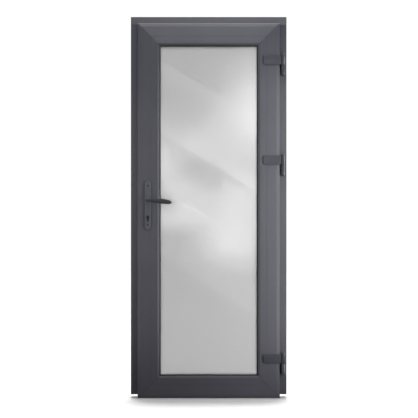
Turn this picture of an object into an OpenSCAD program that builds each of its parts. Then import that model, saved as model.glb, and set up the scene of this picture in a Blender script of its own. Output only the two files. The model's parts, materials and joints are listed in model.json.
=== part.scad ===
// Glazed residential entrance door: a plastic-profile leaf in its frame, hung on the right
// and opening towards the inside. The inside is -Y, +X is to the right seen from inside and
// +Z is up. The origin is the middle of the threshold's underside, midway through the frame.

/* [Overall size] */
// Width over the jambs
door_w = 860; // [760:5:1100]
// Height from the threshold's underside to the top of the head
door_h = 2105; // [1950:5:2600]

/* [Frame profile] */
// Depth of the frame, inside face to outside face
frame_d = 70; // [66:1:90]
// Width of the frame's inside face
frame_face = 46; // [42:1:60]
// How far the outer stop reaches past that face
stop_w = 24; // [20:1:30]
// Thickness of the outer stop
stop_t = 20; // [18:1:24]
// Thickness of the profiles' outer walls
wall = 3; // [2.5:0.1:3.6]
// Thickness of the webs between chambers
web = 2; // [1.5:0.1:2.5]
// Depth of the chambers behind the inside faces
front_chamber_d = 9; // [7:0.5:12]
// Depth of the frame's steel chamber
frame_steel_d = 30; // [25:1:34]
// Wall of the steel stiffeners
steel_t = 2; // [1.5:0.1:3]
// Play around a steel stiffener
steel_gap = 0.5; // [0.2:0.1:1]
// Thickness of the head's end caps
cap_t = 2; // [1:0.5:4]

/* [Threshold] */
// Height of the threshold
sill_h = 20; // [18:1:26]
// Height of the threshold's outer edge
sill_edge_h = 12; // [9:1:14]
// Length of the end blocks that carry the jambs
block_l = 29; // [27:1:40]
// Height of the end blocks' plugs inside the jambs
plug_h = 30; // [20:1:60]

/* [Leaf profile] */
// How far the leaf stands proud of the frame
leaf_step = 23; // [20:0.5:28]
// Overlap lip round the leaf
lip_w = 20; // [18:0.5:23]
// Space between the lip and the frame's face
lip_gap = 4; // [3:0.1:5]
// Space between the leaf's body and the frame's rebate
rebate_gap = 12; // [11:0.1:13]
// Space between the leaf's outer face and the frame's stop
stop_gap = 3; // [2.5:0.1:4]
// Space under the leaf's body, over the threshold
sill_gap = 3; // [2.5:0.1:6]
// Width of the leaf's flat face, edge to bead
leaf_face = 104; // [98:1:130]
// Depth of the leaf's steel chamber
leaf_steel_d = 36; // [33:1:38]
// Width of the sloped band round the leaf's edge
band_w = 18; // [10:1:22]
// Fall of that band
band_fall = 2.5; // [1:0.1:3]
// Distance of the shallow groove from the leaf's edge
line_s = 72; // [60:1:80]

/* [Glazing] */
// Thickness of one pane
pane_t = 4; // [3:0.5:6]
// Space between the panes
spacer_d = 20; // [12:1:22]
// Width of the spacer bar
spacer_w = 8; // [6:0.5:12]
// Width of the glazing bead and of the outer flange
bead_w = 17.5; // [14:0.5:22]
// Thickness of the outer glazing flange
flange_t = 14; // [10:0.5:16]
// Thickness of the glazing seals
glaze_seal_t = 4; // [3:0.5:5]
// Width of the seal that shows beside the bead
seal_show = 5; // [3:0.5:7]
// Space between the glass edge and the profile
edge_gap = 5; // [4:0.5:8]
// Length of a glass packer
packer_l = 100; // [60:5:150]

/* [Hinges] */
// Radius of the hinge knuckles
knuckle_r = 14.5; // [12:0.5:16]
// Distance of the hinge axis from the jamb's outer face
axis_in = 17; // [16:0.5:18]
// Distance of the hinge axis behind the leaf's inside face, negative when in front
axis_back = -4; // [-6:0.5:-2]
// Length of the leaf's knuckle
knuckle_up = 60; // [50:1:80]
// Length of the frame's knuckle
knuckle_down = 57; // [50:1:80]
// Radius of the hinge pins
pin_r = 6; // [5:0.5:7]
// Wall of the hinge bushes
bush_t = 2; // [1.5:0.1:3]
// Height of a hinge plate
plate_h = 50; // [40:1:56]
// Reach of a hinge plate from the hinge axis
plate_l = 113; // [90:1:120]
// Thickness of the hinge plate under its cover
plate_t = 7; // [5:0.5:8]
// Thickness of the hinge cover
cover_t = 2; // [1:0.5:3]
// Height of the lowest hinge's parting
hinge_low = 191; // [150:1:300]
// Distance of the top hinge's parting below the frame's top
hinge_high = 269; // [200:1:350]
// Distance of the middle hinge's parting below the frame's top
hinge_mid = 821; // [650:1:900]

/* [Handle] */
// Height of the lever's axis
lever_h = 1091; // [1000:1:1120]
// Distance of the lever's axis from the leaf body's edge
backset = 37; // [35:0.5:45]
// Length of a handle plate
handle_l = 269; // [250:1:300]
// Width of a handle plate
handle_w = 34; // [30:0.5:40]
// Thickness of a handle plate
handle_t = 10; // [8:0.5:12]
// Length of a handle plate above the lever's axis
handle_up = 108; // [100:1:120]
// Reach of the lever from its axis
lever_l = 133; // [115:1:140]
// Distance of the lever's back from the handle plate
lever_clear = 36; // [32:1:50]
// Thickness of the lever's blade
blade_t = 12; // [9:0.5:15]
// Radius of the lever's neck
neck_r = 8.5; // [7.5:0.1:10]
// Width of the square spindle
spindle_w = 8; // [7:0.5:8]
// Distance of the handle screws either side of their middle
screw_reach = 107.5; // [102:0.5:112]

/* [Lock] */
// Depth of the lock's middle plane behind the leaf's inside face
lock_w = 38; // [37:0.5:40]
// Width of the hardware groove
groove_w = 16; // [15:0.5:18]
// Depth of the hardware groove
groove_d = 6; // [5:0.5:8]
// Thickness of the lock's faceplate
faceplate_t = 3; // [2:0.5:3.5]
// Distance from the lever's axis down to the key's axis
key_drop = 92; // [85:1:96]
// Height of the lock case
case_h = 180; // [176:1:200]
// Room inside the lock case past the cam's sweep
case_l = 1.5; // [0.5:0.5:5.5]
// Thickness of the lock case
case_t = 15; // [14:0.5:15.5]
// Wall of the lock case
case_wall = 1.5; // [1:0.1:1.8]
// Height of the bottom bolt and distance of the top bolt from the frame's top
bolt_h = 332; // [300:1:420]
// Radius of the round bolts
bolt_r = 5; // [4:0.5:5.5]
// Travel of the deadbolt, the round bolts and the drive rods
bolt_throw = 20; // [14:0.5:20]
// Radius of the key cylinder's round part
profile_r = 8.5; // [8.5:0.1:9]
// Height of the key cylinder's profile
profile_h = 33; // [32:0.5:34]
// Radius of the key plug
plug_r = 6.5; // [5.5:0.1:6.8]

/* [Fixings] */
// Radius of the holes for the wall fixings
fix_r = 4; // [3:0.25:5]
// Height of the lowest wall fixing
fix_low = 220; // [200:5:260]
// Distance of the top wall fixing below the frame's top
fix_high = 175; // [150:5:240]
// Radius of the holes for the threshold's floor fixings
floor_r = 3; // [2.5:0.25:4]
// Distance between the floor fixings
floor_pitch = 500; // [300:10:600]

/* [Hidden] */
$fn = 48;

// Planes through the depth, from the inside to the outside
frame_in = -frame_d / 2;
frame_out = frame_d / 2;
leaf_in = frame_in - leaf_step;
stop_in = frame_out - stop_t;
leaf_out = stop_in - stop_gap;
leaf_d = leaf_out - leaf_in;
lip_t = leaf_step - lip_gap;
lock_y = leaf_in + lock_w;
fix_y = frame_in + wall + front_chamber_d + web + frame_steel_d / 2;
pane_out = leaf_out - flange_t - glaze_seal_t;
unit_in = pane_out - 2 * pane_t - spacer_d;
bead_back = unit_in - glaze_seal_t - leaf_in;

// The leaf's outline, on the edge of its lip
leaf_x = door_w / 2 - frame_face - rebate_gap + lip_w;
leaf_low = sill_h + sill_gap - lip_w;
leaf_top = door_h - frame_face - rebate_gap + lip_w;
body_x = leaf_x - lip_w;
rebate_x = door_w / 2 - frame_face;
glass_s = leaf_face + edge_gap;
sight_s = leaf_face + bead_w + seal_show;

// Chambers of the leaf profile, inwards from its edge and backwards from its face
steel_s = [lip_w + 16, leaf_face - 8];
steel_w = [wall + front_chamber_d + 3, wall + front_chamber_d + 3 + leaf_steel_d];

// Hinges and lock
axis_x = door_w / 2 - axis_in;
axis_y = leaf_in + axis_back;
bush_r = pin_r + bush_t;
flange_h = 1.5;
hinge_z = [hinge_low, door_h - hinge_mid, door_h - hinge_high];
lock_x = -body_x + backset;
key_h = lever_h - key_drop;
latch_h = lever_h + 27;
deadbolt_h = lever_h - 46;
case_low = key_h - 39;
case_x = -body_x + faceplate_t;
cam_r = 15;
case_end = lock_x + cam_r + case_l + case_wall;
bolt_z = [bolt_h, door_h - bolt_h];
nose_x = -body_x + 0.2;
plate_low = lever_h + handle_up - handle_l;
screw_z = lever_h + handle_up - handle_l / 2;
strip_low = bolt_h - 90;
strip_top = door_h - bolt_h + 90;
keep_t = 3;
latch_size = [11.5, 24];
deadbolt_size = [11.5, 30];
run_gap = 0.05;
far = 4000;

// Colours
anthracite = "#4c4e57";
seal_black = "#1d1e20";
galvanised = "#a9adb0";
zinc = "#8f9498";

// ---- profiles -------------------------------------------------------------------------

// An arc of points about a centre
function arc(c, r, a0, a1, n = 6) =
    [for (i = [0:n]) c + r * [cos(a0 + (a1 - a0) * i / n), sin(a0 + (a1 - a0) * i / n)]];

// A rectangle between two corners
module rect(low, high) {
    translate(low) square(high - low);
}

// A box between two corners
module block(low, high) {
    translate(low) cube(high - low);
}

// Frame section: x inwards from the jamb's outer face, y from the inside face
module frame_outline() {
    polygon(concat(
        arc([2, 2], 2, 180, 270), arc([frame_face - 2, 2], 2, 270, 360),
        [[frame_face, frame_d - stop_t]],
        arc([frame_face + stop_w - 2, frame_d - stop_t + 2], 2, 270, 360),
        arc([frame_face + stop_w - 2, frame_d - 2], 2, 0, 90),
        [[0, frame_d]]));
}

frame_steel_v = wall + front_chamber_d + web;
rear_v = frame_steel_v + frame_steel_d + web;
stop_chamber_v = frame_d - stop_t + 7;
rib_u = frame_face - 11;

// Hollows of the frame section
module frame_chambers() {
    rect([wall, wall], [frame_face - wall, wall + front_chamber_d]);
    rect([wall, frame_steel_v], [frame_face - wall, frame_steel_v + frame_steel_d]);
    rect([wall, rear_v], [rib_u - web / 2, frame_d - wall]);
    rect([rib_u + web / 2, stop_chamber_v], [frame_face + stop_w - wall, frame_d - wall]);
}

seal_slot = [3, 3];
seal_u = frame_face + stop_w - 9;

module seal_slot_section() {
    translate([seal_u, frame_d - stop_t - 1]) square(seal_slot + [0, 1]);
}

module frame_section() {
    difference() {
        frame_outline();
        frame_chambers();
        seal_slot_section();
    }
}

// Box section of the frame's stiffener
module steel_section(low, high) {
    play = [steel_gap, steel_gap];
    difference() {
        rect(low + play, high - play);
        rect(low + play + [steel_t, steel_t], high - play - [steel_t, steel_t]);
    }
}

module frame_steel_section() {
    steel_section([wall, frame_steel_v],
        [frame_face - wall, frame_steel_v + frame_steel_d]);
}

foot_w = [bead_back - 6, bead_back - 2];
foot_s = 3;

// Leaf section: x inwards from the lip's edge, y from the inside face
module leaf_outline() {
    polygon(concat(
        [[0, lip_t - 1], [0, band_fall + 2]],
        arc([2, band_fall + 1.7], 2, 180, 262),
        [[band_w, 0], [line_s - 1, 0], [line_s, 0.9], [line_s + 1, 0], [leaf_face - 1, 0],
         [leaf_face, 1], [leaf_face, leaf_d - flange_t],
         [leaf_face + bead_w - 1, leaf_d - flange_t],
         [leaf_face + bead_w, leaf_d - flange_t + 1]],
        [[leaf_face + bead_w, leaf_d - 5], [leaf_face + bead_w - 9, leaf_d]],
        [[lip_w, leaf_d], [lip_w, lip_t], [1, lip_t]]));
}

module leaf_chambers() {
    front = wall + front_chamber_d + 1;
    rect([wall + 1, wall + 1], [steel_s[0] - web, front]);
    rect([steel_s[0], wall + 1], [line_s - web / 2, front]);
    rect([line_s + web / 2, wall + 1], [steel_s[1] - web, front]);
    rect([steel_s[0], steel_w[0]], [steel_s[1], steel_w[1]]);
    rect([lip_w + wall, steel_w[0]], [steel_s[0] - web, steel_w[0] + 12]);
    rect([lip_w + wall, steel_w[1] + web], [steel_s[1] / 2, leaf_d - wall]);
    rect([steel_s[1] / 2 + web, steel_w[1] + web], [steel_s[1], leaf_d - wall]);
}

module leaf_section() {
    difference() {
        leaf_outline();
        leaf_chambers();
        rect([lip_w - 1, lock_w - groove_w / 2], [lip_w + groove_d, lock_w + groove_w / 2]);
        rect([6, lip_t - seal_slot[1]], [6 + seal_slot[0], lip_t + 1]);
        rect([leaf_face - foot_s, foot_w[0]], [leaf_face + 1, foot_w[1]]);
    }
}

// Glazing bead, in the leaf section's place
module bead_section() {
    difference() {
        union() {
            polygon([[leaf_face, 1.2], [leaf_face + 1, 0.5], [leaf_face + 6, 0.5],
                [leaf_face + bead_w - 1, 6.5], [leaf_face + bead_w, 8],
                [leaf_face + bead_w, bead_back], [leaf_face, bead_back]]);
            rect([leaf_face - foot_s + 0.2, foot_w[0] + 0.2],
                [leaf_face + 1, foot_w[1] - 0.2]);
        }
        polygon([[leaf_face + 2, 3.5], [leaf_face + 5.5, 3.5],
            [leaf_face + bead_w - 2, 9], [leaf_face + bead_w - 2, bead_back - 2],
            [leaf_face + 2, bead_back - 2]]);
    }
}

// ---- runs round a rectangle -----------------------------------------------------------

// A profile run along one side of the rectangle |x| < a, low < z < top
module run(side, a, low, top) {
    if (side == "left") translate([-a, 0, low]) linear_extrude(top - low) children();
    if (side == "right") mirror([1, 0, 0]) run("left", a, low, top) children();
    if (side == "bottom") translate([a, 0, low]) rotate([0, -90, 0])
        linear_extrude(2 * a) children();
    if (side == "top") translate([0, 0, low + top]) mirror([0, 0, 1])
        run("bottom", a, low, top) children();
}

// The space that one side takes when the corners are mitred to a reach of k
module mitre(side, a, low, top, k) {
    if (side == "left") rotate([90, 0, 0]) linear_extrude(far, center = true)
        polygon([[-a, low], [-a + k, low + k], [-a + k, top - k], [-a, top]]);
    if (side == "right") mirror([1, 0, 0]) mitre("left", a, low, top, k);
    if (side == "bottom") rotate([90, 0, 0]) linear_extrude(far, center = true)
        polygon([[-a, low], [a, low], [a - k, low + k], [-a + k, low + k]]);
    if (side == "top") translate([0, 0, low + top]) mirror([0, 0, 1])
        mitre("bottom", a, low, top, k);
}

module mitred(side, a, low, top, k) {
    intersection() {
        run(side, a, low, top) children();
        mitre(side, a, low, top, k);
    }
}

// A leaf member or bead, with its section's face on the leaf's inside plane
module leaf_member(side) {
    translate([0, leaf_in, 0]) mitred(side, leaf_x, leaf_low, leaf_top, leaf_face + bead_w + 1)
        children();
}

// A plain rectangular ring between two insets from the leaf's outline
module leaf_ring(s0, s1, y0, y1) {
    difference() {
        block([-leaf_x + s0, y0, leaf_low + s0], [leaf_x - s0, y1, leaf_top - s0]);
        block([-leaf_x + s1, y0 - 1, leaf_low + s1], [leaf_x - s1, y1 + 1, leaf_top - s1]);
    }
}

// A cylinder along +X or +Y from its start
module rod_x(p, r, l) {
    translate(p) rotate([0, 90, 0]) cylinder(h = l, r = r);
}

module rod_y(p, r, l) {
    translate(p) rotate([-90, 0, 0]) cylinder(h = l, r = r);
}

// A countersunk screw: head outwards at the start, shank along its local +Z
module screw(r, head_r, l) {
    cylinder(h = head_r - r, r1 = head_r, r2 = r);
    cylinder(h = l, r = r);
    translate([0, 0, l]) cylinder(h = r, r1 = r, r2 = 0.4);
}

// ---- frame ----------------------------------------------------------------------------

fix_z = [for (i = [0:3]) fix_low + (door_h - fix_high - fix_low) * i / 3];

// Holes for the wall fixings, wide on the rebate side for the screw heads
module wall_fixings() {
    for (z = fix_z) {
        rod_x([-door_w / 2 - 1, fix_y, z], fix_r, frame_face + 2);
        rod_x([-rebate_x - wall - 1, fix_y, z], fix_r + 3, wall + 2);
    }
}

// Space cut in the lock jamb for what the lock throws, with a margin round each
module keep_pockets(margin, depth) {
    reach = -rebate_x - depth;
    for (bolt = [[latch_h, latch_size[1]], [deadbolt_h, deadbolt_size[1]]]) {
        half = bolt[1] / 2 + margin;
        block([reach, lock_y - 6 - margin, bolt[0] - half],
            [-rebate_x + keep_t + 1, lock_y + 6 + margin, bolt[0] + half]);
    }
    for (z = bolt_z) rod_x([reach, lock_y, z], bolt_r + margin, depth + keep_t + 1);
}

corner_u = frame_face - 6;
corner_y = frame_in + rear_v + 5.5;
corner_l = 110;

module corner_holes(r) {
    for (side = [-1, 1]) translate([side * (door_w / 2 - corner_u), corner_y, 0])
        cylinder(h = far, r = r);
}

module jamb(side) {
    difference() {
        translate([0, frame_in, 0]) difference() {
            run(side, door_w / 2, sill_h, door_h) frame_section();
            run("top", door_w / 2 + 1, 0, door_h) {
                frame_outline();
                rect([-1, 0], [frame_face, frame_d]);
            }
        }
        translate([0, 0, door_h - corner_l - 3]) corner_holes(2.5);
        if (side == "left") wall_fixings();
        else mirror([1, 0, 0]) wall_fixings();
    }
}

module frame_head() {
    head_x = door_w / 2 - cap_t;
    stop_low = door_h - frame_face - stop_w - 1;
    color(anthracite) difference() {
        translate([0, frame_in, 0]) run("top", head_x, 0, door_h) frame_section();
        for (side = ["left", "right"]) translate([0, frame_in, 0])
            run(side, door_w / 2, stop_low, door_h - seal_u) seal_slot_section();
        translate([0, 0, stop_low]) corner_holes(2.6);
        for (side = [-1, 1])
            translate([side * (door_w / 2 - corner_u), corner_y, door_h - 2.4])
                cylinder(h = 2.5, r1 = 2.6, r2 = 5.1);
    }
}

module frame_jamb_lock() {
    color(anthracite) difference() {
        jamb("left");
        keep_pockets(1.5, 12);
        keep_screw_holes(2, keep_screw_l + 3);
    }
}

module frame_jamb_hinge() {
    color(anthracite) difference() {
        jamb("right");
        hinge_base_holes(2);
    }
}

module frame_steels() {
    head_x = door_w / 2 - cap_t - 6;
    top = door_h - frame_face - 5;
    color(galvanised) translate([0, frame_in, 0]) run("top", head_x, 0, door_h)
        frame_steel_section();
    color(galvanised) difference() {
        translate([0, frame_in, 0]) run("left", door_w / 2, sill_h + 10, top)
            frame_steel_section();
        wall_fixings();
        keep_pockets(1.5, 12);
        keep_screw_holes(2, keep_screw_l + 3);
    }
    color(galvanised) difference() {
        translate([0, frame_in, 0]) run("right", door_w / 2, sill_h + 10, top)
            frame_steel_section();
        mirror([1, 0, 0]) wall_fixings();
        hinge_base_holes(2);
    }
}

module head_end_caps() {
    color(anthracite) for (side = [0, 1]) mirror([side, 0, 0])
        translate([-door_w / 2, frame_in, door_h]) rotate([0, 90, 0])
            linear_extrude(cap_t) frame_outline();
}

module corner_screws() {
    color(zinc) for (side = [-1, 1])
        translate([side * (door_w / 2 - corner_u), corner_y, door_h]) mirror([0, 0, 1])
            screw(2.45, 4.9, corner_l);
}

sill_x = rebate_x + 7 - block_l;
sill_ports = [[frame_in + 6.5, sill_h / 2 - 1], [frame_out - 9, sill_edge_h / 2 + 1]];

module sill_outline() {
    polygon([[frame_in, 0], [frame_out, 0], [frame_out, sill_edge_h - 1],
        [frame_out - 1, sill_edge_h], [stop_in, sill_h], [frame_in + 1, sill_h],
        [frame_in, sill_h - 1]]);
}

module sill_section() {
    difference() {
        sill_outline();
        rect([frame_in + 13, wall], [-2, sill_h - wall]);
        rect([1, wall], [stop_in + 2, sill_h - wall - 3]);
        for (port = sill_ports) translate(port) circle(r = 1.95);
    }
}

// Places a section drawn in y and z along the middle stretch |x| < half
module along_x(half) {
    translate([-half, 0, 0]) rotate([90, 0, 90]) linear_extrude(2 * half) children();
}

module threshold() {
    color("#8d9095") difference() {
        along_x(sill_x) sill_section();
        for (side = [-1, 1]) translate([side * floor_pitch / 2, frame_in + 23, -1]) {
            cylinder(h = sill_h + 2, r = floor_r);
            translate([0, 0, sill_h + 1 - 2.5]) cylinder(h = 2.6, r1 = floor_r, r2 = floor_r + 2.6);
        }
    }
}

module threshold_blocks() {
    plug = [stop_chamber_v + 0.3, frame_d - wall - 0.3];
    inner = door_w / 2 - (frame_face + stop_w - wall) + 0.3;
    color(seal_black) for (side = [0, 1]) mirror([side, 0, 0]) difference() {
        union() {
            intersection() {
                along_x(sill_x + block_l) sill_outline();
                block([sill_x, frame_in, 0], [far, frame_out, sill_h]);
            }
            block([inner, frame_in + plug[0], sill_edge_h - 3],
                [sill_x + block_l, frame_in + plug[1], sill_h + plug_h]);
        }
        for (port = sill_ports)
            translate([sill_x + block_l, port[0], port[1]]) rotate([0, -90, 0]) {
                cylinder(h = 2.4, r1 = 4.6, r2 = 2.2);
                cylinder(h = block_l + 1, r = 2.2);
            }
    }
}

module threshold_screws() {
    color(zinc) for (side = [0, 1]) mirror([side, 0, 0]) for (port = sill_ports)
        translate([sill_x + block_l, port[0], port[1]]) rotate([0, -90, 0])
            screw(1.9, 4.1, block_l + 22);
}

// Seal in the stop's groove, on the two jambs and the head
module frame_seal() {
    color(seal_black) intersection() {
        translate([0, frame_in + frame_d - stop_t, 0])
            for (side = ["left", "right", "top"])
                mitred(side, door_w / 2, -far / 4, door_h, frame_face + stop_w)
                    polygon([[seal_u + 0.1, 2.8], [seal_u + 2.9, 2.8], [seal_u + 2.9, 0],
                        [seal_u + 5, -0.4], [seal_u + 4.6, -2.2], [seal_u + 1, -2.8],
                        [seal_u - 0.8, -1.6], [seal_u - 0.6, 0], [seal_u + 0.1, 0]]);
        block([-far, -far, sill_h + 0.5], [far, far, far]);
    }
}

// ---- keeps on the lock jamb -----------------------------------------------------------

keep_low = deadbolt_h - 38;
keep_top = latch_h + 34;

module keep_plate(low, top) {
    block([-rebate_x, lock_y - 13, low], [-rebate_x + keep_t, lock_y + 13, top]);
}

keep_screw_l = keep_t + 14;
keep_screw_z = [keep_low + 9, keep_top - 9, (deadbolt_h + latch_h + 3) / 2,
    bolt_z[0] - 22, bolt_z[0] + 22, bolt_z[1] - 22, bolt_z[1] + 22];

module keep_screw_holes(r, l) {
    for (z = keep_screw_z) translate([-rebate_x + keep_t, lock_y, z]) rotate([0, -90, 0]) {
        cylinder(h = 2.4, r1 = r + 2.4, r2 = r);
        cylinder(h = l, r = r);
    }
}

module keep_centre() {
    color(galvanised) difference() {
        keep_plate(keep_low, keep_top);
        keep_pockets(0.6, 12);
        keep_screw_holes(2.2, keep_t + 1);
    }
}

module bolt_keeps() {
    color(galvanised) for (z = bolt_z) difference() {
        keep_plate(z - 32, z + 32);
        keep_pockets(0.6, 12);
        keep_screw_holes(2.2, keep_t + 1);
    }
}

module keep_screws() {
    color(zinc) for (z = keep_screw_z)
        translate([-rebate_x + keep_t, lock_y, z]) rotate([0, -90, 0])
            screw(1.95, 4.2, keep_screw_l);
}

// ---- hinges ---------------------------------------------------------------------------

base_t = 6;
base_screws = [for (x = [-9, 9], z = [-14, -44]) [x, z]];

module hinge_base_holes(r) {
    for (z = hinge_z, s = base_screws)
        rod_y([axis_x + s[0], frame_in - base_t - 1, z + s[1]], r, 30);
}

module hinge_frame_leaf(i) {
    z = hinge_z[i];
    color(anthracite) difference() {
        union() {
            translate([axis_x, axis_y, z - knuckle_down]) cylinder(h = knuckle_down, r = knuckle_r);
            block([axis_x - 5, axis_y, z - knuckle_down],
                [axis_x + 5, frame_in - base_t / 2, z - 4]);
            block([axis_x - 14, frame_in - base_t, z - knuckle_down],
                [axis_x + 14, frame_in, z - 4]);
        }
        translate([axis_x, axis_y, z - 45]) cylinder(h = 46, r = pin_r);
        for (s = base_screws)
            rod_y([axis_x + s[0], frame_in - base_t - 1, z + s[1]], 2.2, base_t + 2);
    }
}

module hinge_frame_leaf_top() {
    hinge_frame_leaf(2);
}

module hinge_frame_leaf_middle() {
    hinge_frame_leaf(1);
}

module hinge_frame_leaf_bottom() {
    hinge_frame_leaf(0);
}

module hinge_pins() {
    color(galvanised) for (z = hinge_z) translate([axis_x, axis_y, z - 44.9])
        cylinder(h = 90, r = pin_r - run_gap);
}

module hinge_frame_screws() {
    color(zinc) for (z = hinge_z, s = base_screws) {
        rod_y([axis_x + s[0], frame_in - base_t, z + s[1]], 1.95, 26);
        rod_y([axis_x + s[0], frame_in - base_t - 2, z + s[1]], 3.6, 2);
    }
}

// Plate of the leaf's hinge half, with its far corners rounded
module hinge_plate(z, y, t, right) {
    r = 13;
    translate([0, y + t, 0]) rotate([90, 0, 0]) linear_extrude(t) polygon(concat(
        [[right, z + 4], [right, z + 4 + plate_h]],
        arc([axis_x - plate_l + r, z + 4 + plate_h - r], r, 90, 180, 10),
        arc([axis_x - plate_l + r, z + 4 + r], r, 180, 270, 10)));
}

hinge_screw_x = [for (i = [0:2]) axis_x - plate_l + 14 + i * 30];

module hinge_leaf_holes(z, r, l) {
    for (x = hinge_screw_x) rod_y([x, leaf_in - plate_t - 1, z + 4 + plate_h / 2], r, l);
}

module hinge_leaf(i) {
    z = hinge_z[i];
    color(anthracite) difference() {
        union() {
            hinge_plate(z, leaf_in - plate_t, plate_t, axis_x);
            translate([axis_x, axis_y, z + flange_h]) cylinder(h = knuckle_up - flange_h, r = knuckle_r);
        }
        translate([axis_x, axis_y, z]) cylinder(h = 51, r = bush_r);
        hinge_leaf_holes(z, 2.7, plate_t + 2);
    }
}

module hinge_leaf_top() {
    hinge_leaf(2);
}

module hinge_leaf_middle() {
    hinge_leaf(1);
}

module hinge_leaf_bottom() {
    hinge_leaf(0);
}

module hinge_bushes() {
    color("#2a2b2d") for (z = hinge_z) translate([axis_x, axis_y, z + run_gap]) difference() {
        union() {
            cylinder(h = 48, r = bush_r);
            cylinder(h = flange_h - run_gap, r = knuckle_r - 0.8);
        }
        translate([0, 0, -1]) cylinder(h = 50, r = pin_r + run_gap);
    }
}

module hinge_leaf_screws() {
    color(zinc) for (z = hinge_z, x = hinge_screw_x)
        rod_y([x, leaf_in - plate_t, z + 4 + plate_h / 2], 2.45, plate_t + 24);
}

module hinge_covers() {
    color(anthracite) for (z = hinge_z)
        hinge_plate(z, leaf_in - plate_t - cover_t, cover_t, axis_x - knuckle_r - 3);
}

// ---- leaf -----------------------------------------------------------------------------

// Euro profile: a round head over a narrower foot, drawn about the key's axis
module profile_shape(margin) {
    foot_r = 5 + margin;
    circle(r = profile_r + margin);
    translate([-foot_r, profile_r + 5 - profile_h]) square([2 * foot_r, profile_h - profile_r - 5]);
    translate([0, profile_r + 5 - profile_h]) circle(r = foot_r);
}

// The profile carried along Y at the key's axis
module profile_bar(margin, y0, y1) {
    translate([lock_x, y1, key_h]) rotate([90, 0, 0]) linear_extrude(y1 - y0)
        profile_shape(margin);
}

// Everything the lock side is routed and drilled for
module lock_cuts() {
    half = case_t / 2 + 0.3;
    block([-body_x - 1, lock_y - half, case_low - 0.5],
        [case_end + 0.5, lock_y + half, case_low + case_h + 0.5]);
    for (z = bolt_z) block([-body_x - 1, lock_y - 7.3, z - 35.5],
        [-body_x + groove_d + 38.5, lock_y + 7.3, z + 35.5]);
    for (z = strip_screw_z) rod_x([-body_x, lock_y, z], 2, groove_d + 4);
    rod_y([lock_x, leaf_in - 1, lever_h], neck_r + 1.5, leaf_d + 2);
    profile_bar(1, leaf_in - 1, leaf_out + 1);
    for (dz = [-screw_reach, screw_reach])
        rod_y([lock_x, leaf_in - 1, screw_z + dz], 3, leaf_d + 2);
}

module hinge_cuts() {
    for (z = hinge_z) hinge_leaf_holes(z, 2.5, plate_t + 26);
}

module leaf_rail_top() {
    color(anthracite) leaf_member("top") leaf_section();
}

module leaf_rail_bottom() {
    color(anthracite) leaf_member("bottom") leaf_section();
}

module leaf_stile_lock() {
    color(anthracite) difference() {
        leaf_member("left") leaf_section();
        lock_cuts();
    }
}

module leaf_stile_hinge() {
    color(anthracite) difference() {
        leaf_member("right") leaf_section();
        hinge_cuts();
    }
}

module leaf_steels() {
    inset = steel_s[1] + 5;
    low = [steel_s[0], steel_w[0]];
    high = [steel_s[1], steel_w[1]];
    color(galvanised) translate([0, leaf_in, 0]) {
        for (side = ["bottom", "top"]) intersection() {
            run(side, leaf_x, leaf_low, leaf_top) steel_section(low, high);
            block([-leaf_x + inset, 0, -far], [leaf_x - inset, leaf_d, far]);
        }
    }
    color(galvanised) difference() {
        translate([0, leaf_in, 0]) intersection() {
            for (side = ["left", "right"]) run(side, leaf_x, leaf_low, leaf_top)
                steel_section(low, high);
            block([-far, 0, leaf_low + inset], [far, leaf_d, leaf_top - inset]);
        }
        lock_cuts();
        hinge_cuts();
    }
}

module bead_top() {
    color(anthracite) leaf_member("top") bead_section();
}

module bead_bottom() {
    color(anthracite) leaf_member("bottom") bead_section();
}

module bead_lock() {
    color(anthracite) leaf_member("left") bead_section();
}

module bead_hinge() {
    color(anthracite) leaf_member("right") bead_section();
}

module pane(y0) {
    block([-leaf_x + glass_s, y0, leaf_low + glass_s],
        [leaf_x - glass_s, y0 + pane_t, leaf_top - glass_s]);
}

module glass_inner() {
    color("#d5d8da") pane(unit_in);
}

module glass_outer() {
    color("#c9cdd0") pane(pane_out - pane_t);
}

module glass_spacer() {
    color(zinc) leaf_ring(glass_s + 4, glass_s + 4 + spacer_w, unit_in + pane_t,
        pane_out - pane_t);
}

module glazing_seal_inner() {
    color(seal_black) leaf_ring(glass_s + 4, sight_s, unit_in - glaze_seal_t, unit_in);
    color(seal_black) leaf_ring(leaf_face + bead_w, sight_s,
        unit_in - glaze_seal_t - 6, unit_in - glaze_seal_t);
}

module glazing_seal_outer() {
    color(seal_black) leaf_ring(glass_s + 4, sight_s, pane_out, pane_out + glaze_seal_t);
}

module glass_packers() {
    y = [unit_in + 1, pane_out - 1];
    s = [leaf_face, glass_s];
    reach = leaf_x - leaf_face - 60 - packer_l;
    color("#2f5fa8") for (x = [-reach - packer_l, reach]) {
        block([x, y[0], leaf_low + s[0]], [x + packer_l, y[1], leaf_low + s[1]]);
        block([x, y[0], leaf_top - s[1]], [x + packer_l, y[1], leaf_top - s[0]]);
    }
    color("#2f5fa8") for (z = [leaf_low + leaf_face + 80, leaf_top - leaf_face - 80 - packer_l]) {
        block([-leaf_x + s[0], y[0], z], [-leaf_x + s[1], y[1], z + packer_l]);
        block([leaf_x - s[1], y[0], z], [leaf_x - s[0], y[1], z + packer_l]);
    }
}

// Seal in the lip's groove, all round the leaf
module leaf_seal() {
    color(seal_black) translate([0, leaf_in + lip_t, 0])
        for (side = ["left", "right", "top", "bottom"])
            mitred(side, leaf_x, leaf_low, leaf_top, lip_w)
                polygon([[6.1, -2.8], [8.9, -2.8], [8.9, 0], [11, 0.4],
                    [10.6, lip_gap - 1], [7, lip_gap - 0.3], [5, lip_gap - 1.4], [5.4, 0],
                    [6.1, 0]]);
}

module bottom_seal() {
    z = leaf_low + lip_w;
    half = body_x - 3;
    color(seal_black) block([-half, leaf_out - 12, z - sill_gap + 0.3], [half, leaf_out - 4, z]);
    color(seal_black) block([-half, frame_in + 3, z - sill_gap + 0.3], [half, frame_in + 6, z]);
}

// ---- lock -----------------------------------------------------------------------------

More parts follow.
